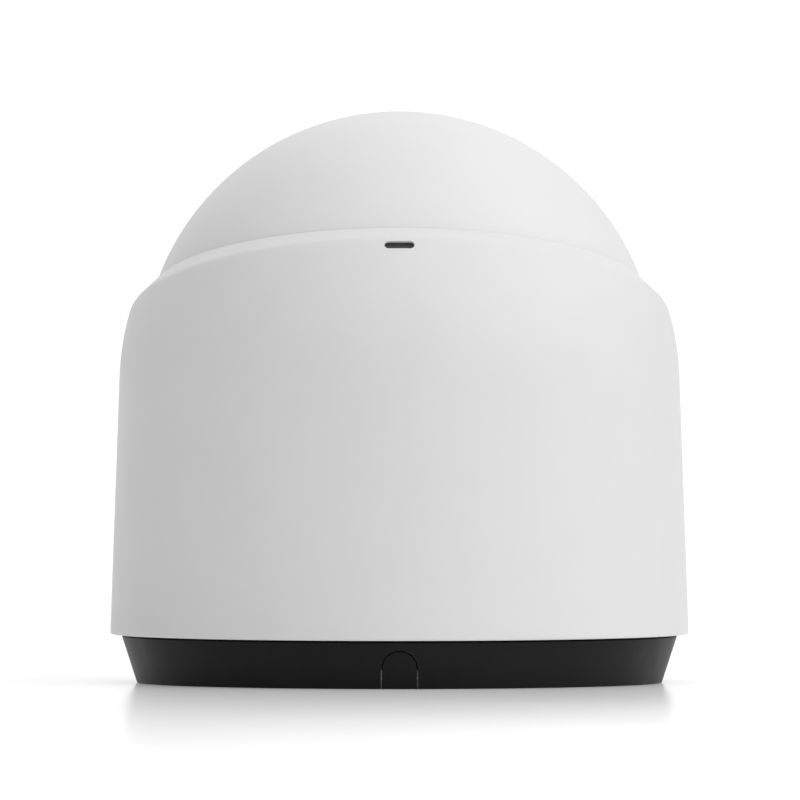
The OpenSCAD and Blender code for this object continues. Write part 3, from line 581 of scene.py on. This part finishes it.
def make_materials():
    """One material for each of the record's slots."""
    return {
        "white_housing": moulded("housing_white", HOUSING_WHITE, rough=0.42, vary=0.012),
        "white_ball": moulded("ball_white", BALL_WHITE, rough=0.4, vary=0.012),
        "white_bezel": moulded("bezel_white", BALL_WHITE, rough=0.35, vary=0.012, depth=0.00001),
        "black_plastic": moulded(
            "base_black", (0.010, 0.010, 0.0105), rough=0.42, grain=2200, depth=0.00003, vary=0.15,
            shine=0.12),
        "dark_plastic": moulded("dark_plastic", (0.035, 0.035, 0.038), rough=0.5, vary=0.15),
        "ivory_polymer": moulded("ivory_polymer", (0.72, 0.66, 0.52), rough=0.4),
        "red_plastic": moulded("red_plastic", (0.5, 0.03, 0.025), rough=0.3),
        "rubber_black": rubbery("rubber_black", (0.02, 0.02, 0.02)),
        "rubber_grey": rubbery("rubber_grey", (0.09, 0.09, 0.09)),
        "cable_jacket": rubbery("cable_jacket", (0.03, 0.03, 0.033), rough=0.55),
        "pad_silicone": rubbery("pad_silicone", (0.28, 0.38, 0.55), rough=0.6),
        "zinc_steel": brushed("zinc_steel", (0.60, 0.61, 0.62)),
        "screw_steel": brushed("screw_steel", (0.50, 0.50, 0.51), rough=0.28, stretch=(1, 1, 4)),
        "brass_parts": brushed("turned_brass", (0.70, 0.50, 0.22), rough=0.25, stretch=(1, 1, 8)),
        "gold_contacts": brushed("gold_contacts", (0.90, 0.66, 0.25), rough=0.18, stretch=(8, 1, 1)),
        "cast_alloy": cast("cast_alloy", (0.55, 0.56, 0.57)),
        "chassis_alloy": cast("blasted_alloy", (0.20, 0.20, 0.21), rough=0.55),
        "dark_glass": tinted_window("infrared_window"),
        "clear_glass": clear("optical_glass", (0.95, 0.98, 1.0), (0.62, 0.55, 1.0)),
        "lamp_epoxy": clear("lamp_epoxy", (0.95, 0.93, 0.85), (1, 1, 1)),
        "green_board": board("green_board", (0.02, 0.11, 0.045), (0.035, 0.16, 0.07)),
        "white_board": board("white_board", (0.72, 0.72, 0.70), (0.64, 0.64, 0.61)),
        "chip_epoxy": moulded("chip_epoxy", (0.02, 0.02, 0.022), rough=0.55, grain=4000),
        "amber_film": flat_film("amber_film", (0.55, 0.24, 0.04), (0.35, 0.12, 0.02)),
    }


def dress(piece, slot):
    piece.data.materials.clear()
    piece.data.materials.append(MATERIALS[slot])


def stand_for(piece, body, *nodes):
    """The piece takes the place and the finish of CAD nodes, and moves with their body."""
    dress(piece, SLOT_OF[nodes[0]])
    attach(piece, body)
    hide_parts(*nodes)


# ---------- Housing ----------

def wall_r(z):
    """Radius of the housing's outside at a height."""
    meet_z = SHOULDER_Z + SHOULDER_R * math.sin(WALL_DRAFT)
    if z < meet_z:
        return HOUSING_R - (z - HOUSING_Z) * math.tan(WALL_DRAFT)
    meet_r = HOUSING_R - (meet_z - HOUSING_Z) * math.tan(WALL_DRAFT)
    middle = meet_r - SHOULDER_R * math.cos(WALL_DRAFT)
    return middle + math.sqrt(max(SHOULDER_R ** 2 - (z - SHOULDER_Z) ** 2, 0))


def rim_point(turn, r, w):
    """A point at radius r and height w in the slanted rim's own frame."""
    along = Vector((0, math.sin(RIM_TILT), math.cos(RIM_TILT)))
    ahead = Vector((0, math.cos(RIM_TILT), -math.sin(RIM_TILT)))
    return BALL_CENTRE + r * (math.cos(turn) * Vector((1, 0, 0)) + math.sin(turn) * ahead) + w * along


def lip_edge_r(turn):
    """Radius, in the rim's frame, at which the sloping lip meets the outside of the wall."""
    low, high = WALL_EDGE_R
    for _ in range(40):
        r = (low + high) / 2
        p = rim_point(turn, r, LIP_SUM - r)
        if math.hypot(p.x, p.y) > wall_r(p.z):
            high = r
        else:
            low = r
    return (low + high) / 2


def rim_section(turn, edge):
    """Up the inside of the rim, over its inner edge and out along the sloping lip."""
    inner_w = RIM_RISE - RIM_INNER_EDGE
    inside = [rim_point(turn, math.sqrt(RIM_CLEAR_R ** 2 - w ** 2), w) for w in between(RIM_LOW, inner_w, 8)]
    seat = rim_point(turn, math.sqrt(RIM_CLEAR_R ** 2 - inner_w ** 2), inner_w)
    tip = rim_point(turn, LIP_SUM - RIM_RISE, RIM_RISE)
    lip_start = rim_point(turn, LIP_SUM - RIM_RISE + RIM_LIP_START, RIM_RISE - RIM_LIP_START)
    inner_edge = soft_corner(seat, tip, lip_start, RIM_INNER_SOFT, 4)
    lip_end = edge + (tip - edge).normalized() * RIM_EDGE_SOFT
    lip = [inner_edge[-1].lerp(lip_end, i / 6) for i in range(1, 6)]
    return inside + inner_edge + lip, lip_end


def foot_section(out):
    """Round the wall's bottom edge, up the skirt, past the ring's groove and in to the inner wall."""
    wall_foot = (wall_r(HOUSING_Z + WALL_FOOT_H), HOUSING_Z + WALL_FOOT_H)
    outer, inner = (HOUSING_R, HOUSING_Z), (SKIRT_R, HOUSING_Z)
    skirt = [
        (SKIRT_R, GROOVE_Z[0]), (GROOVE_R, GROOVE_Z[0]), (GROOVE_R, GROOVE_Z[1]), (SKIRT_R, GROOVE_Z[1]),
        (SKIRT_R, SKIRT_TOP), (INNER_R, SKIRT_TOP)]
    line = [wall_foot] + soft_corner(wall_foot, outer, inner, WALL_FOOT_SOFT)
    line += soft_corner(outer, inner, skirt[0], SKIRT_SOFT, 3) + skirt
    return [out * r + Vector((0, 0, z)) for r, z in line]


def inner_section(turn, out):
    """Up the inner wall, leaning in near its top to meet the rim."""
    root_z = rim_point(turn, INNER_R, RIM_LOW).z
    root_r = max(min(INNER_R, wall_r(root_z) - WALL_T), ROOT_R)
    line = []
    for k in range(1, 9):
        lean = max(0, (k - 4) / 4)
        z = SKIRT_TOP + (root_z - SKIRT_TOP) * k / 8
        line.append(out * (INNER_R + (root_r - INNER_R) * lean) + Vector((0, 0, z)))
    return line


def housing_column(turn):
    """One closed section through the housing's wall, from inside the rim, over it and down."""
    edge_r = lip_edge_r(turn)
    edge = rim_point(turn, edge_r, LIP_SUM - edge_r)
    heading = math.atan2(edge.y, edge.x)
    out = Vector((math.cos(heading), math.sin(heading), 0))
    column, lip_end = rim_section(turn, edge)
    low_z = edge.z - RIM_EDGE_SOFT
    wall_start = out * wall_r(low_z) + Vector((0, 0, low_z))
    for i in range(9):
        t = i / 8
        column.append(lip_end * (1 - t) ** 2 + edge * (2 * t * (1 - t)) + wall_start * t ** 2)
    fine_z = low_z - WALL_FINE_H
    for z in between(low_z, fine_z, 12)[1:] + between(fine_z, HOUSING_Z + WALL_FOOT_H, 26):
        column.append(out * wall_r(z) + Vector((0, 0, z)))
    return column + foot_section(out) + inner_section(turn, out)


def rim_turns():
    """Directions round the rim, closer together at the rear, where the slot is."""
    fine, wide = math.radians(0.45), math.radians(1.5)
    near = math.radians(6)
    turns = []
    a = -math.pi / 2 - near
    while a < -math.pi / 2 + near:
        turns.append(a)
        a += fine
    rest = math.tau - (a - turns[0])
    count = round(rest / wide)
    return turns + [a + rest * i / count for i in range(count)]


def slot_outline(length, height, steps=10):
    """A slot with round ends, as points round its edge."""
    r = height / 2
    points = []
    for side in (1, -1):
        for i in range(steps + 1):
            a = side * (math.pi / 2 - math.pi * i / steps)
            points.append((side * ((length - height) / 2 + r * math.cos(a)), r * math.sin(a)))
    return points


def slot_cutter():
    out = Vector((0, -math.cos(SLOT_RISE), math.sin(SLOT_RISE)))
    up = Vector((0, math.sin(SLOT_RISE), math.cos(SLOT_RISE)))
    outlines = [
        [BALL_CENTRE + out * depth + Vector((x, 0, 0)) + up * h for x, h in slot_outline(SLOT_LEN, SLOT_H)]
        for depth in SLOT_DEPTH]
    return prism("slot_cutter", *outlines)


def make_housing():
    bm = bmesh.new()
    skin_columns(bm, [housing_column(turn) for turn in rim_turns()])
    housing = mesh_object("housing_shell", bm)
    cut_with(housing, slot_cutter())
    stand_for(housing, "housing", "housing")


# ---------- Base and its plug ----------

def base_r(z):
    return BASE_FOOT_R + (BASE_TOP_R - BASE_FOOT_R) * z / BASE_TOP


def base_outline():
    lip_z = BASE_HIGH.z - COLLAR_LIP_T
    points = [
        (FOOT_INNER_R, 0), (GASKET_R[0], 0), (GASKET_R[0], GASKET_T), (GASKET_R[1], GASKET_T),
        (GASKET_R[1], 0),
        (BASE_FOOT_R, 0), (BASE_TOP_R, BASE_TOP), (COLLAR_R[1], BASE_TOP),
        (COLLAR_R[1], lip_z), (COLLAR_LIP_R, lip_z), (COLLAR_LIP_R, BASE_HIGH.z), (COLLAR_R[0], BASE_HIGH.z),
        (COLLAR_R[0], FLOOR_Z[1]), (OPENING_R, FLOOR_Z[1]), (OPENING_R, FLOOR_Z[0]),
        (FOOT_INNER_R, FLOOR_Z[0])]
    small, none = 0.25 * MM, 0
    cuts = [none] * 5 + [small, small, none, none, small, 0.6 * MM, small, 0.4 * MM, small, small, none]
    return [tuple(p) for p in softened(points, cuts)]


def arch_outline(width, height, steps=16):
    """An arch standing on Z = 0, from its right foot over the top to its left foot."""
    r = width / 2
    sides = [(r, z) for z in between(0, height - r, 6)]
    top = [(r * math.cos(a), height - r + r * math.sin(a)) for a in between(0, math.pi, steps)]
    return sides + top + [(-x, z) for x, z in reversed([*sides, (r, height - r)])]


def arch_cutter():
    under = 1 * MM
    outline = [(x, z if z > 0 else -under) for x, z in arch_outline(NOTCH_W, NOTCH_H)]
    return prism("arch_cutter", *[[(x, y, z) for x, z in outline] for y in NOTCH_Y])


def screw_cutter(turn):
    """The room in the floor for one wall screw."""
    x, y = SCREW_AT * math.cos(turn), SCREW_AT * math.sin(turn)
    r = SCREW_ROOM_R
    circle = [(x + r * math.cos(a), y + r * math.sin(a)) for a in between(0, math.tau, 48)]
    outlines = [[(*p, z) for p in circle] for z in (FLOOR_Z[0] - MM, FLOOR_Z[1] + MM)]
    return prism("screw_room", *outlines)


def tab_cutter(turn):
    """The slot in the floor that lets one of the plate's tabs through."""
    out = Vector((math.cos(turn), math.sin(turn), 0))
    side = Vector((-math.sin(turn), math.cos(turn), 0))
    inner, outer = TAB_SLOT_R
    half = TAB_SLOT_HALF
    corners = ((inner, -half), (outer, -half), (outer, half), (inner, half))
    outlines = [
        [out * r + side * s + Vector((0, 0, z)) for r, s in corners]
        for z in (FLOOR_Z[0] - MM, FLOOR_Z[1] + MM)]
    return prism("tab_cutter", *outlines)


def make_base():
    bm = bmesh.new()
    revolved(bm, base_outline(), 240)
    base = mesh_object("base_body", bm)
    cut_with(base, arch_cutter())
    for turn in SCREW_TURNS:
        cut_with(base, screw_cutter(math.radians(turn)))
    for turn in TAB_TURNS:
        cut_with(base, tab_cutter(math.radians(turn)))
    stand_for(base, "base", "base_ring")


def plug_ring(bm, width, height, inset, back):
    """One turn round the plug's arch, inset from its edge and set back from the base's surface."""
    ring = []
    for x, z in arch_outline(width - 2 * inset, height - 2 * inset):
        z += inset
        ring.append(bm.verts.new((x, -math.sqrt((base_r(z) - back) ** 2 - x * x), z)))
    return ring


def plug_leg(bm, side, width):
    """A leg with softened edges that reaches in from the plug's back."""
    xs = (side * (width / 2 - PLUG_LEG_T), side * (width / 2 - 0.02 * MM))
    ys = (-PLUG_INNER_R - 0.4 * MM, PLUG_HIGH.y)
    corners = [bm.verts.new((x, y, z)) for x in xs for y in ys for z in PLUG_LEG_Z]
    leg = bmesh.ops.convex_hull(bm, input=corners)
    edges = [e for e in leg["geom"] if isinstance(e, bmesh.types.BMEdge)]
    bmesh.ops.bevel(bm, geom=edges, offset=0.15 * MM, segments=2, affect="EDGES")


def make_plug():
    """The arched plug: its face follows the base's taper, with a soft edge, and two legs reach in."""
    soft = PLUG_SOFT
    width, height = NOTCH_W - 2 * PLUG_GAP, NOTCH_H - PLUG_GAP
    depth = BASE_FOOT_R - PLUG_INNER_R
    places = [(0, depth), (0, depth / 2), (0, soft), (soft * 0.3, soft * 0.3), (soft, 0)]
    places += [(soft + k * MM, 0) for k in (0.6, 1.4, 2.2)]
    bm = bmesh.new()
    rings = [plug_ring(bm, width, height, inset, back) for inset, back in places]
    count = len(rings[0])
    for here, there in zip(rings, rings[1:]):
        for k in range(count):
            n = (k + 1) % count
            bm.faces.new((here[k], here[n], there[n], there[k]))
    bm.faces.new(rings[0])
    bm.faces.new(rings[-1])
    for side in (-1, 1):
        plug_leg(bm, side, width)
    stand_for(mesh_object("notch_plug", bm), "plug", "cable_plug")


# ---------- Ball ----------

def arc_points(r, z_from, z_to, count):
    """Points (radius, height) on a circle about the centre, from one height towards another."""
    a, b = math.asin(z_from / r), math.asin(z_to / r)
    return [(r * math.cos(t), r * math.sin(t)) for t in between(a, b, count)]


def soft_tuples(*corner):
    return [tuple(p) for p in soft_corner(*corner)]


def shell_outline():
    inside = BALL_R - SHELL_T
    tail_z = -math.sqrt(BALL_R ** 2 - TAIL_HOLE_R ** 2)
    start = -math.sqrt(BALL_R ** 2 - (TAIL_HOLE_R + 0.4 * MM) ** 2)
    seam = (math.sqrt(BALL_R ** 2 - SEAM_Z ** 2), SEAM_Z)
    bore = (BORE_R, SEAM_Z)
    near = SEAM_Z - 0.5 * MM
    before = (math.sqrt(BALL_R ** 2 - near ** 2), near)
    points = [(TAIL_HOLE_R, tail_z + 0.35 * MM)]
    points += arc_points(BALL_R, start, near, 72)
    points += soft_tuples(before, seam, bore, 0.22 * MM)
    points += soft_tuples(seam, bore, (BORE_R, SEAM_Z - 1.5 * MM), 0.2 * MM, 3)
    bore_z = math.sqrt(inside ** 2 - BORE_R ** 2)
    boss_z = -math.sqrt(inside ** 2 - TAIL_BOSS_R ** 2)
    points += arc_points(inside, bore_z, boss_z, 40)
    points += [(TAIL_BOSS_R, boss_z), (TAIL_BOSS_R, TAIL_BOSS_Z), (TAIL_HOLE_R, TAIL_BOSS_Z)]
    return points


def make_ball():
    bm = bmesh.new()
    place = ball_place()
    revolved(bm, shell_outline(), 192, place)
    foot = -math.sqrt((BALL_R - SHELL_T) ** 2 - (POST_AT + POST_R) ** 2) - 1 * MM
    edge = 0.3 * MM
    hole_r, hole_z = 1.05 * MM, POST_TOP - 5 * MM
    post = [(AXIS_R, foot), (POST_R, foot), (POST_R, POST_TOP - edge), (POST_R - edge, POST_TOP),
            (hole_r, POST_TOP), (hole_r, hole_z), (AXIS_R, hole_z)]
    for turn in (45, 135, 225, 315):
        a = math.radians(turn)
        at = Matrix.Translation((POST_AT * math.cos(a), POST_AT * math.sin(a), 0))
        revolved(bm, post, 32, place @ at)
    shell = mesh_object("ball_rear_shell", bm)
    stand_for(shell, "ball", "ball_shell")


def bezel_outline():
    seam_r = math.sqrt(BALL_R ** 2 - SEAM_Z ** 2)
    recess_r = WINDOW_R + 0.15 * MM
    low, high = SEAM_Z + BEZEL_GAP, FACE_Z - 0.5 * MM
    face = (math.sqrt(BALL_R ** 2 - FACE_Z ** 2), FACE_Z)
    recess = (recess_r, FACE_Z)
    before = (math.sqrt(BALL_R ** 2 - high ** 2), high)
    outside = arc_points(BALL_R, low + 0.3 * MM, high, 8)
    points = [(BEZEL_IN_R, BEZEL_LOW), (BEZEL_SPIGOT_R, BEZEL_LOW), (BEZEL_SPIGOT_R, ORING_GROOVE_Z[0])]
    points += [(ORING_GROOVE_R, z) for z in ORING_GROOVE_Z]
    points += [(BEZEL_SPIGOT_R, ORING_GROOVE_Z[1]), (BEZEL_SPIGOT_R, low)]
    points += soft_tuples((BEZEL_SPIGOT_R, low), (seam_r, low), outside[0], 0.22 * MM)
    points += outside[1:]
    points += soft_tuples(before, face, recess, 0.45 * MM, 6)
    points += soft_tuples(face, recess, (recess_r, WINDOW_SEAT_Z + 0.1 * MM), 0.2 * MM)
    return points + [(recess_r, WINDOW_SEAT_Z), (BEZEL_IN_R, WINDOW_SEAT_Z)]


def make_bezel():
    stand_for(turned("bezel_ring", bezel_outline(), 192), "ball", "front_bezel")


def crowned(r_in, r_out, steps):
    """The window's outer face between two radii, with a slight crown."""
    rs = [r_out + (r_in - r_out) * i / steps for i in range(steps + 1)]
    return [(r, WINDOW_Z[1] + WINDOW_CROWN * (1 - (r / WINDOW_R) ** 2)) for r in rs]


def make_windows():
    edge = WINDOW_EDGE
    low, high = WINDOW_Z
    hole = LENS_WINDOW_R + 0.05 * MM
    face = crowned(hole + edge * 0.4, WINDOW_R - edge, 12)
    points = [(hole, low), (WINDOW_R, low), (WINDOW_R, high - edge), *face, (hole, face[-1][1] - edge * 0.4)]
    stand_for(turned("window_dark", points, 192), "ball", "front_window")
    face = crowned(AXIS_R, LENS_WINDOW_R - edge * 0.4, 10)
    points = [(AXIS_R, low), (LENS_WINDOW_R, low), (LENS_WINDOW_R, face[0][1] - edge * 0.4), *face]
    stand_for(turned("window_clear", points, 96), "ball", "lens_window")


# ---------- Lens ----------

def barrel_outline():
    """The barrel's section: threaded shank, head, stepped mouth, glass seat and bore."""
    root_r = BARREL_R[0] - THREAD_DEPTH
    thread = []
    for k in range(9):
        z = BARREL_Z[0] + 0.8 * MM + THREAD_PITCH * k
        thread += [(BARREL_R[0], z), (root_r, z + 0.5 * MM)]
    step = (BARREL_MOUTH_R - GLASS_R) / 4
    drop = (BARREL_Z[2] - GLASS_SEAT_Z[1]) / 4
    mouth = []
    for k in range(4):
        r = BARREL_MOUTH_R - step * k
        mouth += [(r, BARREL_Z[2] - drop * k - 0.1 * MM), (r, BARREL_Z[2] - drop * (k + 1))]
    edge = 0.25 * MM
    return [
        (REAR_GLASS_R, BARREL_Z[0]), (root_r, BARREL_Z[0]), *thread, (BARREL_R[0], BARREL_Z[1]),
        (BARREL_R[1], BARREL_Z[1]), (BARREL_R[1], BARREL_Z[2] - edge), (BARREL_R[1] - edge, BARREL_Z[2]),
        *mouth, (GLASS_R, GLASS_SEAT_Z[0]), (BARREL_BORE_R, GLASS_SEAT_Z[0]), (BARREL_BORE_R, REAR_GLASS_Z),
        (REAR_GLASS_R, REAR_GLASS_Z)]


def hood_outline():
    edge = 0.25 * MM
    inner, outer = HOOD_R
    low, high = HOOD_Z
    return [
        (inner, low), (outer, low), (outer, high - edge), (outer - edge, high), (inner + edge, high),
        (inner, high - edge)]


def glass_outline():
    """The front lens: flat behind, domed in front."""
    rim = GLASS_R - GLASS_GAP
    foot = GLASS_SEAT_Z[0] + GLASS_GAP
    middle = GLASS_TOP - GLASS_CURVE
    dome = [(r, middle + math.sqrt(GLASS_CURVE ** 2 - r * r)) for r in between(rim, 0, 16)]
    return [(AXIS_R, foot), (rim, foot), *dome, (AXIS_R, GLASS_TOP)]


def make_lens():
    stand_for(turned("barrel", barrel_outline(), 96), "ball", "lens_barrel")
    stand_for(turned("hood", hood_outline(), 96), "ball", "lens_hood")
    stand_for(turned("glass_dome", glass_outline(), 96), "ball", "front_lens")


# ---------- Finish ----------

def dress_nodes():
    """Every CAD node that still shows gets its slot's material."""
    for name, node in NODES.items():
        if not node.hide_render:
            node.data.materials.clear()
            node.data.materials.append(MATERIALS[SLOT_OF[name]])
    NODES["mic_mesh"].data.materials[0] = woven_mesh("acoustic_mesh")


bpy.context.scene.view_settings.view_transform = "Standard"
make_camera()
make_world()
make_light()
make_floor()
MATERIALS = make_materials()
make_housing()
make_base()
make_plug()
make_ball()
make_bezel()
make_windows()
make_lens()
dress_nodes()
